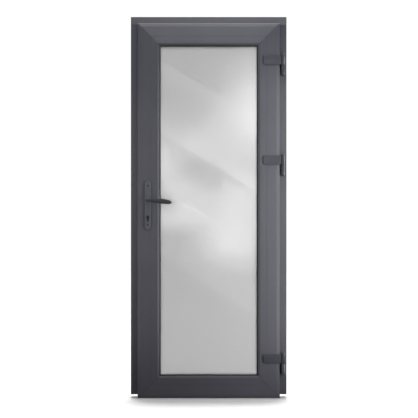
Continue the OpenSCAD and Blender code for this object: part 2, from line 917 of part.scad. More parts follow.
strip_screw_z = [strip_low + 12, bolt_z[0] + 50, (bolt_z[0] + case_low) / 2, case_low - 9,
    case_low + case_h + 9, (bolt_z[1] + case_low + case_h) / 2, bolt_z[1] - 50,
    strip_top - 12];

module lock_faceplate() {
    color(zinc) difference() {
        block([-body_x, lock_y - groove_w / 2 + 0.1, strip_low],
            [case_x, lock_y + groove_w / 2 - 0.1, strip_top]);
        for (bolt = [[latch_h, latch_size], [deadbolt_h, deadbolt_size]])
            block([-body_x - 1, lock_y - bolt[1][0] / 2 - 0.25, bolt[0] - bolt[1][1] / 2 - 0.25],
                [case_x + 1, lock_y + bolt[1][0] / 2 + 0.25, bolt[0] + bolt[1][1] / 2 + 0.25]);
        for (z = bolt_z) rod_x([-body_x - 1, lock_y, z], bolt_r + 0.3, faceplate_t + 2);
        for (z = strip_screw_z) rod_x([-body_x - 1, lock_y, z], 2.1, faceplate_t + 2);
        for (z = strip_screw_z) translate([-body_x, lock_y, z]) rotate([0, 90, 0])
            cylinder(h = 2, r1 = 4.1, r2 = 2.1);
        rod_x([-body_x - 1, lock_y, key_h - profile_h + 13], 2.6, faceplate_t + 2);
    }
}

module faceplate_screws() {
    color(zinc) for (z = strip_screw_z) translate([-body_x, lock_y, z]) rotate([0, 90, 0])
        screw(1.95, 3.9, groove_d + 1);
}

module lock_case() {
    inside = case_t / 2 - case_wall;
    low = [case_x, lock_y - case_t / 2, case_low];
    high = [case_end, lock_y + case_t / 2, case_low + case_h];
    w = case_wall;
    color(galvanised) difference() {
        block(low, high);
        block(low + [w, w, w], high - [w, w, w]);
        for (bolt = [[latch_h, latch_size], [deadbolt_h, deadbolt_size]])
            block([case_x - 1, lock_y - bolt[1][0] / 2 - 0.2, bolt[0] - bolt[1][1] / 2 - 0.2],
                [case_x + w + 1, lock_y + bolt[1][0] / 2 + 0.2, bolt[0] + bolt[1][1] / 2 + 0.2]);
        rod_y([lock_x, lock_y - case_t, lever_h], 8, 2 * case_t);
        profile_bar(0.2, lock_y - case_t, lock_y + case_t);
        rod_x([case_x - 1, lock_y, key_h - profile_h + 13], 2.6, w + 2);
        for (dz = [-screw_reach, screw_reach])
            rod_y([lock_x, lock_y - case_t, screw_z + dz], 3, 2 * case_t);
    }
}

module bolt_cases() {
    x = -body_x + groove_d;
    color(galvanised) for (z = bolt_z) difference() {
        block([x, lock_y - 7, z - 35], [x + 38, lock_y + 7, z + 35]);
        rod_x([x - 1, lock_y, z], bolt_r + run_gap, 36);
    }
}

// Rounded plate of a handle set, its back at y = 0 and its face towards -Y
module handle_plate() {
    r = handle_w / 2;
    difference() {
        rotate([90, 0, 0]) linear_extrude(handle_t) polygon(concat(
            arc([lock_x, lever_h + handle_up - r], r, 0, 180, 24),
            arc([lock_x, plate_low + r], r, 180, 360, 24)));
        translate([0, 0.01, 0]) rotate([90, 0, 0]) linear_extrude(handle_t - 3) difference() {
            translate([lock_x - r + 3, plate_low + r]) square([handle_w - 6, handle_l - handle_w]);
            translate([lock_x, lever_h]) circle(r = neck_r + 4);
            translate([lock_x, key_h]) profile_shape(3);
            for (dz = [-screw_reach, screw_reach]) translate([lock_x, screw_z + dz]) circle(r = 6.5);
        }
        rod_y([lock_x, -handle_t - 1, lever_h], neck_r + 0.06, handle_t + 2);
    }
}

module handle_plate_inside() {
    color(anthracite) difference() {
        translate([0, leaf_in, 0]) handle_plate();
        profile_bar(0.3, leaf_in - handle_t - 1, leaf_in + 1);
        for (dz = [-screw_reach, screw_reach])
            translate([lock_x, leaf_in - handle_t, screw_z + dz]) rotate([-90, 0, 0]) {
                cylinder(h = 2.4, r1 = 5.1, r2 = 2.7);
                cylinder(h = handle_t + 1, r = 2.7);
            }
    }
}

module handle_plate_outside() {
    color(anthracite) difference() {
        translate([0, leaf_out, 0]) mirror([0, 1, 0]) handle_plate();
        profile_bar(0.3, leaf_out - 1, leaf_out + handle_t + 1);
        for (dz = [-screw_reach, screw_reach])
            rod_y([lock_x, leaf_out - 1, screw_z + dz], 2.5, handle_t - 2);
    }
}

module handle_screws() {
    color(zinc) for (dz = [-screw_reach, screw_reach])
        translate([lock_x, leaf_in - handle_t, screw_z + dz]) rotate([-90, 0, 0])
            screw(2.45, 4.8, handle_t + leaf_d + handle_t - 7);
}

// Lever blade: centre line and half height along its reach
function blade_c(d) = -0.02 * d - 0.0005 * d * d;
function blade_h(t) = (5 + 4 * t + 6.5 * sin(180 * t))
    * (t > 0.88 ? sqrt(max(0, 1 - pow((t - 0.88) / 0.12, 2))) : 1);

module blade_shape() {
    n = 40;
    polygon(concat(
        [for (i = [0:n]) let (t = i / n, d = 4 + (lever_l - 4) * t) [d, blade_c(d) + blade_h(t)]],
        [for (i = [n - 1:-1:0]) let (t = i / n, d = 4 + (lever_l - 4) * t)
            [d, blade_c(d) - blade_h(t)]]));
}

// Lever with the plate's face at y = 0 and the blade towards -Y
module lever() {
    difference() {
        union() {
            rod_y([0, -lever_clear - blade_t, 0], neck_r, lever_clear + blade_t + handle_t - 2);
            translate([0, -lever_clear, 0]) rotate([90, 0, 0]) linear_extrude(blade_t)
                blade_shape();
        }
        block([-spindle_w / 2 - run_gap, -28, -spindle_w / 2 - run_gap],
            [spindle_w / 2 + run_gap, handle_t, spindle_w / 2 + run_gap]);
    }
}

module lever_inside() {
    color(anthracite) translate([lock_x, leaf_in - handle_t, lever_h]) lever();
}

module lever_outside() {
    color(anthracite) translate([lock_x, leaf_out + handle_t, lever_h]) mirror([0, 1, 0]) lever();
}

module spindle() {
    half = spindle_w / 2;
    color(zinc) block([lock_x - half, leaf_in - handle_t - 26, lever_h - half],
        [lock_x + half, leaf_out + handle_t + 26, lever_h + half]);
}

module follower() {
    hole = spindle_w / 2 + run_gap;
    color(zinc) difference() {
        union() {
            rod_y([lock_x, lock_y - case_t / 2 + case_wall + 0.2, lever_h], 11,
                case_t - 2 * case_wall - 0.4);
            rod_y([lock_x, lock_y - case_t / 2, lever_h], 7.94, case_t);
        }
        block([lock_x - hole, lock_y - case_t, lever_h - hole],
            [lock_x + hole, lock_y + case_t, lever_h + hole]);
    }
}

module latch_bolt() {
    half = latch_size / 2;
    color(zinc) translate([0, 0, latch_h - half[1]]) linear_extrude(latch_size[1])
        polygon([[nose_x, lock_y - half[0]], [nose_x + 27, lock_y - half[0]],
            [nose_x + 27, lock_y + half[0]], [nose_x + 9, lock_y + half[0]],
            [nose_x, lock_y - half[0] + 2.5]]);
}

module deadbolt() {
    half = deadbolt_size / 2;
    color(zinc) block([nose_x, lock_y - half[0], deadbolt_h - half[1]],
        [nose_x + 46, lock_y + half[0], deadbolt_h + half[1]]);
}

module round_bolt(z) {
    color(zinc) rod_x([nose_x, lock_y, z], bolt_r, 39);
}

module bolt_top() {
    round_bolt(bolt_z[1]);
}

module bolt_bottom() {
    round_bolt(bolt_z[0]);
}

cam_gap = 5.2;
recess = 3;

// Key cylinder: a profile bar bored for the plug and cut through for the cam
module cylinder_body() {
    color("#2b2c2f") difference() {
        profile_bar(0, leaf_in - handle_t + recess, leaf_out + handle_t - recess);
        rod_y([lock_x, leaf_in - handle_t, key_h], plug_r + run_gap, leaf_d + 2 * handle_t);
        rod_y([lock_x, lock_y - cam_gap, key_h], cam_r + 0.3, 2 * cam_gap);
        translate([0, lock_y, key_h - profile_h + 13]) rotate([0, 90, 0])
            cylinder(h = far, r = 2.5, center = true);
    }
}

module cylinder_screw() {
    color(zinc) translate([-body_x, lock_y, key_h - profile_h + 13]) rotate([0, 90, 0])
        cylinder(h = backset + 6, r = 2.45);
}

module key_plug() {
    y0 = leaf_in - handle_t + recess + 0.2;
    y1 = leaf_out + handle_t - recess - 0.2;
    color("#3a3a3a") difference() {
        union() {
            rod_y([lock_x, y0, key_h], plug_r, y1 - y0);
            rod_y([lock_x, lock_y - cam_gap + 0.4, key_h], 8, 2 * cam_gap - 0.8);
            translate([lock_x - 3, lock_y - cam_gap + 0.4, key_h])
                cube([6, 2 * cam_gap - 0.8, cam_r - 0.4]);
        }
        for (y = [y0 - 1, y1 - 9]) block([lock_x - 0.7, y, key_h - 4.5],
            [lock_x + 0.7, y + 10, key_h + 4.5]);
    }
}

// Rods behind the faceplate, clear of the cases and their screws over their whole travel
module drive_rods() {
    x = case_x + 0.1;
    spans = [[strip_screw_z[4] + 6, strip_screw_z[5] - 6 - bolt_throw],
        [strip_screw_z[5] + 6, strip_screw_z[6] - 6 - bolt_throw],
        [strip_screw_z[1] + 6, strip_screw_z[2] - 6 - bolt_throw],
        [strip_screw_z[2] + 6, strip_screw_z[3] - 6 - bolt_throw]];
    color(zinc) for (s = spans) block([x, lock_y - 5, s[0]], [x + 2.5, lock_y + 5, s[1]]);
}

// ---- nodes ----------------------------------------------------------------------------

frame_head();
frame_jamb_lock();
frame_jamb_hinge();
frame_steels();
head_end_caps();
corner_screws();
threshold();
threshold_blocks();
threshold_screws();
frame_seal();
keep_centre();
bolt_keeps();
keep_screws();
hinge_frame_leaf_top();
hinge_frame_leaf_middle();
hinge_frame_leaf_bottom();
hinge_pins();
hinge_frame_screws();
leaf_rail_top();
leaf_rail_bottom();
leaf_stile_lock();
leaf_stile_hinge();
leaf_steels();
bead_top();
bead_bottom();
bead_lock();
bead_hinge();
glass_inner();
glass_outer();
glass_spacer();
glazing_seal_inner();
glazing_seal_outer();
glass_packers();
leaf_seal();
bottom_seal();
hinge_leaf_top();
hinge_leaf_middle();
hinge_leaf_bottom();
hinge_bushes();
hinge_leaf_screws();
hinge_covers();
lock_faceplate();
faceplate_screws();
lock_case();
bolt_cases();
handle_plate_inside();
handle_plate_outside();
handle_screws();
cylinder_body();
cylinder_screw();
lever_inside();
lever_outside();
spindle();
follower();
latch_bolt();
deadbolt();
bolt_top();
bolt_bottom();
key_plug();
drive_rods();
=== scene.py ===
# %% [markdown]
# # A glazed entrance door
#
# The door is made of plastic profiles wrapped in an anthracite foil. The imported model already
# holds every piece at its true size, so the script loads it as a fixed frame. Then it gives each
# piece its finish and remodels the pieces that the hand and the eye meet first: the handles, the
# hinges and the screws.

# %% Load the frame
import bpy
import bmesh
import json
import math
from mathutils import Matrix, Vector


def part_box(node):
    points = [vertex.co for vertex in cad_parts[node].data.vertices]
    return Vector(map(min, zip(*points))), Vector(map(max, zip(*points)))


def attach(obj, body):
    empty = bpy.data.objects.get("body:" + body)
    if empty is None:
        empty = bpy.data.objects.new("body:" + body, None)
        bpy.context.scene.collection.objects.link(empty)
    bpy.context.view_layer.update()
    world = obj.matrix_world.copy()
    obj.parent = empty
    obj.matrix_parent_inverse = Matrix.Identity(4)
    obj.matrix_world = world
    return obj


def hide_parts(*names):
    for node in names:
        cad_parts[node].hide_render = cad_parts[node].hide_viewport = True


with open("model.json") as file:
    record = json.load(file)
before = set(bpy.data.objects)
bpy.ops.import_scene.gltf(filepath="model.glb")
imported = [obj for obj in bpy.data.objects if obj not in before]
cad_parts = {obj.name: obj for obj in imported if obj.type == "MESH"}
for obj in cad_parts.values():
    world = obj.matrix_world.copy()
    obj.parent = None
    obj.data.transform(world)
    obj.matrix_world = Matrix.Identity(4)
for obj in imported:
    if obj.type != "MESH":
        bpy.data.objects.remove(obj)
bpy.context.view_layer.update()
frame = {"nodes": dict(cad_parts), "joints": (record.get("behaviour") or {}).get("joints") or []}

# %% [markdown]
# A material is worked out in linear light, but colours are given as sRGB hex values.
# One function turns the one into the other. A second adds a shader node with its settings and
# its links, so that each finish below reads as a short recipe.

# %% Colour and node helpers
MM = 0.001


def linear(code):
    """An sRGB hex colour as linear red, green, blue and alpha."""
    parts = [int(code[i:i + 2], 16) / 255 for i in (0, 2, 4)]
    return [c / 12.92 if c <= 0.04045 else ((c + 0.055) / 1.055) ** 2.4 for c in parts] + [1.0]


def add(tree, kind, settings=None, **sockets):
    """Adds a node. Settings are its own properties, sockets are values or outputs to link."""
    node = tree.nodes.new(kind)
    for name, value in (settings or {}).items():
        setattr(node, name, value)
    for name, value in sockets.items():
        key = int(name[1:]) if name[0] == "i" and name[1:].isdigit() else name.replace("_", " ")
        socket = node.inputs[key]
        if isinstance(value, bpy.types.NodeSocket):
            tree.links.new(value, socket)
        else:
            socket.default_value = value
    return node


def start_finish(name, **sockets):
    """A new material with a Principled shader, and its tree, shader and object coordinates."""
    material = bpy.data.materials.new(name)
    material.use_nodes = True
    tree = material.node_tree
    tree.nodes.clear()
    shader = add(tree, "ShaderNodeBsdfPrincipled", **sockets)
    add(tree, "ShaderNodeOutputMaterial", Surface=shader.outputs["BSDF"])
    place = add(tree, "ShaderNodeTexCoord").outputs["Object"]
    return material, tree, shader, place


print("helpers ready: #808080 is", round(linear("808080")[0], 4), "in linear light")

# %% [markdown]
# The camera stands square in front of the door, level with its middle, and far back behind a
# long lens, so that the jambs stay upright and the depth of the profiles hardly shows. The
# distance and the picture's width at the door give the focal length.

# %% Camera
CAMERA_BACK = 7.0
VIEW_WIDTH = 2.309
VIEW_MIDDLE = (0.0018, 1.0436)
SENSOR = 36.0

face_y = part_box("frame_jamb_lock")[0][1]
camera = bpy.data.objects.new("camera", bpy.data.cameras.new("camera"))
bpy.context.collection.objects.link(camera)
camera.data.sensor_width = SENSOR
camera.data.lens = SENSOR * CAMERA_BACK / VIEW_WIDTH
camera.data.clip_end = 100
camera.location = (VIEW_MIDDLE[0], face_y - CAMERA_BACK, VIEW_MIDDLE[1])
camera.rotation_euler = (math.pi / 2, 0, 0)
bpy.context.scene.camera = camera
print("focal length in mm:", round(camera.data.lens, 1))

# %% [markdown]
# A product studio is a pale floor and large soft lights. The floor is one big disc. It throws no
# light back up, so that the foot of the door stays the darkest part. The world round it is bright
# behind the door and dim in front, so that the softboxes can shape the anthracite faces. The camera
# alone sees it white all round.

# %% Floor and world
bpy.context.scene.view_settings.view_transform = "Standard"

FLOOR_RADIUS = 14
bpy.ops.mesh.primitive_circle_add(vertices=96, radius=FLOOR_RADIUS, fill_type="NGON")
floor = bpy.context.object
floor.name = "floor"
# matt pale paint: to the eye a plain ground that only shows the door's soft shadow
floor.data.materials.append(start_finish(
    "pale_floor_paint", Base_Color=linear("e9e9e9"), Roughness=0.9,
    Emission_Color=linear("ffffff"), Emission_Strength=0.01)[0])
floor.visible_diffuse = False
floor.visible_glossy = False

world = bpy.data.worlds.new("studio")
bpy.context.scene.world = world
world.use_nodes = True
sky = world.node_tree
sky.nodes.clear()
side = add(sky, "ShaderNodeSeparateXYZ", Vector=add(sky, "ShaderNodeTexCoord").outputs["Generated"])
glow = add(sky, "ShaderNodeMapRange", {"interpolation_type": "SMOOTHSTEP"},
           Value=side.outputs["Y"], From_Min=-0.5, From_Max=0.6, To_Min=0.1, To_Max=1.06)
shown = add(sky, "ShaderNodeMath", {"operation": "MAXIMUM"}, i0=glow.outputs["Result"],
            i1=add(sky, "ShaderNodeLightPath").outputs["Is Camera Ray"])
add(sky, "ShaderNodeOutputWorld", Surface=add(
    sky, "ShaderNodeBackground", Color=linear("ffffff"), Strength=shown.outputs["Value"]
).outputs["Background"])
print("floor radius in metres:", FLOOR_RADIUS)

# %% [markdown]
# Two tall softboxes stand at the sides, close to the door. Each is strong on its own side, so the
# handle's shadow falls to the right and the hinges' shadows to the left. The right one is much
# stronger, and so the hinge stile is the lightest member. A third hangs above for the rails.

# %% Softboxes


def softbox(name, place, aim, size, power, spread=180):
    """A rectangular area light from its place at its aim. A grid narrows its spread in degrees."""
    light = bpy.data.lights.new(name, "AREA")
    light.shape = "RECTANGLE"
    light.size, light.size_y = size
    light.energy = power
    light.spread = math.radians(spread)
    lamp = bpy.data.objects.new(name, light)
    bpy.context.collection.objects.link(lamp)
    lamp.location = place
    lamp.rotation_euler = (Vector(aim) - Vector(place)).to_track_quat("-Z", "Y").to_euler()
    lamp.visible_camera = False


softbox("right_softbox", (0.93, -0.88, 0.99), (0.33, 0, 0.99), (0.25, 1.85), 9.2, 120)
softbox("left_softbox", (-0.98, -0.72, 0.92), (-0.38, 0, 0.92), (0.25, 1.6), 2.05, 120)
softbox("top_softbox", (0, -1.0, 3.0), (0, 0, 2.0), (1.4, 0.3), 6.0, 90)

# a soft skylight from above and just behind: it only draws the door's contact shadow in front
skylight = bpy.data.objects.new("skylight", bpy.data.lights.new("skylight", "SUN"))
skylight.data.energy = 2.7
skylight.data.angle = math.radians(9)
skylight.rotation_euler = (math.radians(-7.5), 0, 0)
bpy.context.collection.objects.link(skylight)

# %% [markdown]
# Polished glass shows little of itself and much of the room in front of it. So the studio gets a
# reflector: one tall card between the camera and the door that only mirror reflections can see.
# It carries soft pools of light, and a few long straight edges like those of tilted panels.
# The pane mirrors a point of the card half as far from the middle again, so a light's place on
# the glass gives its place on the card.

# %% Reflector card
CARD_Y = -3.5
pane_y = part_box("glass_inner")[0][1]
spread = (pane_y - CARD_Y) / (pane_y - camera.location.y)
card_half = (0.32 * (1 + spread), 1.0 * (1 + spread))

bpy.ops.mesh.primitive_plane_add(size=2, location=(VIEW_MIDDLE[0], CARD_Y, VIEW_MIDDLE[1]),
                                 rotation=(math.pi / 2, 0, 0))
card = bpy.context.object
card.name = "reflector_card"
card.scale = (card_half[0], card_half[1], 1)
bpy.ops.object.transform_apply(location=True, rotation=True, scale=True)
for ray in ("camera", "diffuse", "transmission", "volume_scatter", "shadow"):
    setattr(card, "visible_" + ray, False)

glow_card = bpy.data.materials.new("reflector_glow")
glow_card.use_nodes = True
tree = glow_card.node_tree
tree.nodes.clear()
place = add(tree, "ShaderNodeTexCoord").outputs["Object"]
# back from the card to the place on the pane that mirrors it
on_pane = add(tree, "ShaderNodeMapping", Vector=place, Scale=(1 / (1 + spread),) * 3, Location=(
    VIEW_MIDDLE[0] * spread / (1 + spread), 0, VIEW_MIDDLE[1] * spread / (1 + spread))
).outputs["Vector"]


def pool(total, x, z, half_wide, half_tall, strength):
    """Adds a soft oval pool of light, brightest in its middle."""
    near = add(tree, "ShaderNodeMapping", Vector=on_pane,
               Scale=(1 / half_wide, 0, 1 / half_tall), Location=(-x / half_wide, 0, -z / half_tall))
    away = add(tree, "ShaderNodeVectorMath", {"operation": "LENGTH"}, i0=near.outputs["Vector"])
    fade = add(tree, "ShaderNodeMapRange", {"interpolation_type": "SMOOTHSTEP"},
               Value=away.outputs["Value"], From_Min=1.0, From_Max=0.0)
    return add(tree, "ShaderNodeMath", {"operation": "MULTIPLY_ADD"},
               i0=fade.outputs["Result"], i1=strength, i2=total).outputs["Value"]


def panel_edge(total, slope, offset, strength, reach):
    """Adds a sharp straight edge that fades over its reach on one side."""
    lean = math.radians(slope)
    ahead = add(tree, "ShaderNodeVectorMath", {"operation": "DOT_PRODUCT"}, i0=on_pane,
                i1=(math.sin(lean), 0, math.cos(lean)))
    beyond = add(tree, "ShaderNodeMapRange", Value=ahead.outputs["Value"],
                 From_Min=offset, From_Max=offset + reach, To_Min=strength, To_Max=0.0)
    side = add(tree, "ShaderNodeMath", {"operation": "GREATER_THAN" if reach > 0 else "LESS_THAN"},
               i0=ahead.outputs["Value"], i1=offset)
    return add(tree, "ShaderNodeMath", {"operation": "MULTIPLY_ADD"}, i0=beyond.outputs["Result"],
               i1=side.outputs["Value"], i2=total).outputs["Value"]


light = 0.0
# place on the pane across and up, half width, half height, strength
for spot in ((0.34, 1.58, 0.41, 0.43, 0.38), (0.17, 1.08, 0.45, 0.35, 0.36),
             (-0.13, 1.29, 0.22, 0.36, 0.56), (-0.37, 1.38, 0.66, 0.32, 0.58),
             (-0.09, 1.24, 0.21, 0.19, -0.37), (-0.16, 1.39, 0.24, 0.27, -0.60),
             (0.16, 0.84, 0.36, 0.20, 0.20), (-0.36, 0.99, 0.63, 0.12, 0.20)):
    light = pool(light, *spot)
# slope in degrees, offset from the foot of the door, strength, reach
for edge in ((29.7, 1.484, 0.06, -0.24), (31.1, 1.114, -0.02, 0.21),
             (31.1, 1.114, -0.11, -0.26), (30.4, 0.865, -0.074, 0.28),
             (30.4, 0.865, -0.05, -0.12), (31.0, 0.53, 0.05, 0.28)):
    light = panel_edge(light, *edge)
# the share of light that the polished face of the pane mirrors straight back
SHEEN = 0.11
lit = add(tree, "ShaderNodeMath", {"operation": "MULTIPLY"}, i0=light, i1=1 / SHEEN)
lit = add(tree, "ShaderNodeMath", {"operation": "MAXIMUM"}, i0=lit.outputs["Value"], i1=0.0)
lamp = add(tree, "ShaderNodeEmission", Color=linear("ffffff"), Strength=lit.outputs["Value"])
add(tree, "ShaderNodeOutputMaterial", Surface=lamp.outputs["Emission"])
card.data.materials.append(glow_card)
print("card half size in metres:", [round(h, 2) for h in card_half])

# %% [markdown]
# The profiles are extruded uPVC under a satin foil. The foil is embossed with a fine grain that
# runs along each member, so it catches the light across the grain: an upright stile mirrors the
# lights beside it, and a rail the lights above it. That is why the tone steps at each mitre. The
# shader does this with anisotropy, and a stretched noise makes the grain itself. The jambs and the
# head are one foil with the leaf, but the lock jamb is painted lighter as painted light, and the
# hinge jamb and the head darker as painted shade.

# %% Foiled profile
leaf_low_x, leaf_high_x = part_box("leaf_stile_lock")[0][0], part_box("leaf_stile_hinge")[1][0]
leaf_low_z, leaf_high_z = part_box("leaf_rail_bottom")[0][2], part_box("leaf_rail_top")[1][2]


def inset(tree, value, low, high):
    """How far a coordinate lies inside the nearer of two outer edges."""
    off = add(tree, "ShaderNodeMath", {"operation": "SUBTRACT"}, i0=value, i1=(low + high) / 2)
    far = add(tree, "ShaderNodeMath", {"operation": "ABSOLUTE"}, i0=off.outputs["Value"])
    return add(tree, "ShaderNodeMath", {"operation": "SUBTRACT"}, i0=(high - low) / 2,
               i1=far.outputs["Value"]).outputs["Value"]


def weld_groove_and_painted_shade(tree, place):
    """One on the 45 degree welds of the leaf, zero off them. A real seam is about half a
    millimetre wide and is drawn three times as wide, so that it shows. It dents the groove into
    the foil's bump, and also darkens the foil's colour there as painted shade."""
    part = add(tree, "ShaderNodeSeparateXYZ", Vector=place)
    off = add(tree, "ShaderNodeMath", {"operation": "SUBTRACT"},
              i0=inset(tree, part.outputs["X"], leaf_low_x, leaf_high_x),
              i1=inset(tree, part.outputs["Z"], leaf_low_z, leaf_high_z))
    far = add(tree, "ShaderNodeMath", {"operation": "ABSOLUTE"}, i0=off.outputs["Value"])
    return add(tree, "ShaderNodeMapRange", Value=far.outputs["Value"], From_Min=0.8 * MM,
               From_Max=1.6 * MM, To_Min=1.0, To_Max=0.0).outputs["Result"]


def foil(name, along, welded, pale, deep):
    """Satin anthracite foil between two close tones, with its grain along X or Z."""
    material, tree, shader, place = start_finish(
        name, Roughness=0.42, Anisotropic=0.75, Specular_IOR_Level=0.5)
    # grain lines a metre, across the grain and along it
    fine, coarse = 900.0, 30.0
    scale = (coarse, fine, fine) if along == "X" else (fine, fine, coarse)
    stretched = add(tree, "ShaderNodeMapping", Vector=place, Scale=scale).outputs["Vector"]
    grain = add(tree, "ShaderNodeTexNoise", Vector=stretched, Scale=1.0, Detail=3.0)
    cloud = add(tree, "ShaderNodeTexNoise", Vector=place, Scale=6.0, Detail=2.0)
    tone = add(tree, "ShaderNodeMix", {"data_type": "RGBA"}, Factor=cloud.outputs["Fac"],
               A=linear(deep), B=linear(pale)).outputs["Result"]
    height = grain.outputs["Fac"]
    if welded:
        seam = weld_groove_and_painted_shade(tree, place)
        # painted shade: the groove's shade is darkened into the foil's colour, besides the real dent
        # of the bump below
        shade = add(tree, "ShaderNodeMath", {"operation": "MULTIPLY"}, i0=seam, i1=0.8)
        tone = add(tree, "ShaderNodeMix", {"data_type": "RGBA"}, Factor=shade.outputs["Value"],
                   A=tone, B=linear("26262b")).outputs["Result"]
        height = add(tree, "ShaderNodeMath", {"operation": "SUBTRACT"}, i0=height,
                     i1=seam).outputs["Value"]
    tree.links.new(tone, shader.inputs["Base Color"])
    bump = add(tree, "ShaderNodeBump", Height=height, Strength=0.25, Distance=0.1 * MM)
    tree.links.new(bump.outputs["Normal"], shader.inputs["Normal"])
    # the highlight spreads across the grain, so the tangent lies across it
    axis = (0, 0, 1) if along == "X" else (1, 0, 0)
    turned = add(tree, "ShaderNodeVectorTransform",
                 {"vector_type": "VECTOR", "convert_from": "OBJECT", "convert_to": "WORLD"},
                 Vector=axis)
    tree.links.new(turned.outputs["Vector"], shader.inputs["Tangent"])
    return material


# to the eye: satin blue-grey plastic, brushed up and down on uprights and sideways on rails
leaf_foil_upright = foil("anthracite_foil_leaf_upright", "Z", True, "505059", "47474f")
leaf_foil_level = foil("anthracite_foil_leaf_level", "X", True, "505059", "47474f")
# painted light: the lock jamb is a lighter copy of the leaf's foil
lock_jamb_foil_painted_light = foil("anthracite_foil_lock_jamb_painted_light", "Z", False, "54545d", "4b4b53")
# painted shade: the hinge jamb is a darker copy of the leaf's foil
hinge_jamb_foil_painted_shade = foil("anthracite_foil_hinge_jamb_painted_shade", "Z", False, "494951", "404048")
# painted shade: the head is a slightly darker copy of the leaf's foil
frame_level_foil_painted_shade = foil("anthracite_foil_frame_level_painted_shade", "X", False, "4d4d55", "44444c")


def dress(material, *names):
    """Puts one finish on CAD nodes."""
    for name in names:
        mesh = frame["nodes"][name].data
        mesh.materials.clear()
        mesh.materials.append(material)


dress(lock_jamb_foil_painted_light, "frame_jamb_lock")
dress(hinge_jamb_foil_painted_shade, "frame_jamb_hinge")
dress(frame_level_foil_painted_shade, "frame_head", "head_end_caps")
dress(leaf_foil_upright, "leaf_stile_lock", "leaf_stile_hinge", "bead_lock", "bead_hinge")
dress(leaf_foil_level, "leaf_rail_top", "leaf_rail_bottom", "bead_top", "bead_bottom")
print("foiled members dressed")

# %% [markdown]
# Powder coat on the handles and hinges is a baked polyester paint: a touch glossier than the
# foil, with a faint orange peel a millimetre or so across.

# %% Powder coat


def powder_coat(name, colour, rough):
    """Anthracite powder coat with a fine orange peel."""
    material, tree, shader, place = start_finish(
        name, Base_Color=linear(colour), Roughness=rough)
    peel = add(tree, "ShaderNodeTexNoise", Vector=place, Scale=900.0, Detail=1.0)
    bump = add(tree, "ShaderNodeBump", Height=peel.outputs["Fac"], Strength=0.12, Distance=0.0002)
    tree.links.new(bump.outputs["Normal"], shader.inputs["Normal"])
    return material


# to the eye: deep grey hinges with a clear soft shine down each barrel
hinge_paint = powder_coat("hinge_powder_coat", "42434b", 0.27)
# to the eye: a duller plate, close to the foil, and a darker lever that stands out before it. The
# two are one coat: the plate's copy is painted lighter as painted light, and the lever's darker as
# painted shade
plate_paint_painted_light = powder_coat("plate_powder_coat_painted_light", "575861", 0.45)
lever_paint_painted_shade = powder_coat("lever_powder_coat_painted_shade", "35363b", 0.46)
dress(hinge_paint, "hinge_leaf_top", "hinge_leaf_middle", "hinge_leaf_bottom", "hinge_covers",
      "hinge_frame_leaf_top", "hinge_frame_leaf_middle", "hinge_frame_leaf_bottom")
dress(plate_paint_painted_light, "handle_plate_inside", "handle_plate_outside")
dress(lever_paint_painted_shade, "lever_inside", "lever_outside")
print("powder coat on hinges and handles")

# %% [markdown]
# The seals are EPDM rubber: nearly black, dull, with a slight bloom. The end blocks and bushes
# are black moulded plastic, a little smoother.

# %% Rubber and plastic


def moulded(name, colour, rough, grit):
    """A moulded or extruded part with a fine matt texture of so many grains a metre."""
    material, tree, shader, place = start_finish(name, Roughness=rough)
    noise = add(tree, "ShaderNodeTexNoise", Vector=place, Scale=grit, Detail=2.0)
    tone = add(tree, "ShaderNodeMix", {"data_type": "RGBA"}, Factor=noise.outputs["Fac"],
               A=linear(colour[0]), B=linear(colour[1]))
    tree.links.new(tone.outputs["Result"], shader.inputs["Base Color"])
    bump = add(tree, "ShaderNodeBump", Height=noise.outputs["Fac"], Strength=0.15, Distance=0.0002)
    tree.links.new(bump.outputs["Normal"], shader.inputs["Normal"])
    return material


# to the eye: dull near-black lines round the pane and the leaf
dress(moulded("epdm_rubber", ("161618", "232326"), 0.7, 700.0), "frame_seal", "leaf_seal",
      "bottom_seal", "glazing_seal_inner", "glazing_seal_outer")
# to the eye: plain black blocks with a slight sheen
dress(moulded("black_nylon", ("18181a", "202022"), 0.5, 900.0), "threshold_blocks",
      "hinge_bushes")
# to the eye: flat bright blue, as glass packers are coded by thickness
dress(moulded("blue_packer_plastic", ("2c5aa0", "2f62ad"), 0.45, 800.0), "glass_packers")
print("rubber and plastic dressed")

# %% [markdown]
# The hidden metal is zinc-plated steel. Zinc freezes in pale crystals, the spangle, on the
# galvanised stiffeners, and is smooth on the plated lock parts and screws.

# %% Zinc, steel and aluminium


def plated(name, colours, rough, cell):
    """Plated metal whose tone changes from crystal to crystal, so many a metre."""
    material, tree, shader, place = start_finish(name, Metallic=1.0)
    crystal = add(tree, "ShaderNodeTexVoronoi", Vector=place, Scale=cell)
    tone = add(tree, "ShaderNodeMix", {"data_type": "RGBA"}, Factor=crystal.outputs["Distance"],
               A=linear(colours[0]), B=linear(colours[1]))
    tree.links.new(tone.outputs["Result"], shader.inputs["Base Color"])
    matt = add(tree, "ShaderNodeMapRange", Value=crystal.outputs["Distance"],
               To_Min=rough - 0.06, To_Max=rough + 0.06)
    tree.links.new(matt.outputs["Result"], shader.inputs["Roughness"])
    return material


# to the eye: pale dull crystals a centimetre wide
galvanised = plated("galvanised_steel", ("a4a8ab", "b8bcbe"), 0.42, 120.0)
# to the eye: an even, brighter silver
zinc = plated("zinc_plated_steel", ("b0b3b6", "bcbfc2"), 0.28, 600.0)
# to the eye: black metal that keeps a metallic glint, for the screws in the plates
dark_zinc = plated("black_zinc_plated_steel", ("3a3b3f", "46474b"), 0.34, 600.0)
